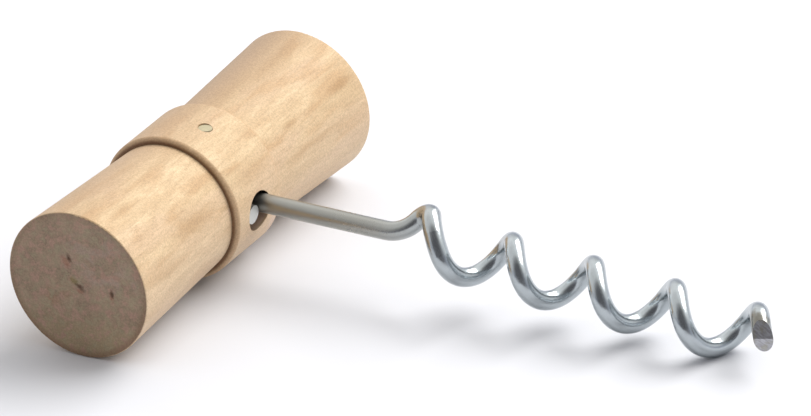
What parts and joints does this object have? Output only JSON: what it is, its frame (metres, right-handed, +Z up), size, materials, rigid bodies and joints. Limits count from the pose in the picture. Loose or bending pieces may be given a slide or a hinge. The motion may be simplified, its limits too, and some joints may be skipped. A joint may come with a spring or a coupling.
{
  "type": "corkscrew",
  "caption": "Pull corkscrew: a turned wooden crossbar handle with a raised middle band, and a steel wire that runs from it as a straight shank into an open, pointed, right-handed coil.",
  "frame": {"origin": "under the middle of the whole part, on the surface that it lies on", "axes": "+X from the handle out along the wire towards its point, +Y along the handle's axis, +Z up from the surface that the part lies on"},
  "size_m": [0.1188, 0.072, 0.0258],
  "materials": {
    "turned_wood": "pale turned beech, smooth, lightly oiled",
    "plated_wire": "bright plated steel wire",
    "pin_steel": "dull cut steel wire end"
  },
  "bodies": {
    "root": {"handle": "turned_wood", "worm": "plated_wire", "cross_pin": "pin_steel"}
  },
  "joints": []
}
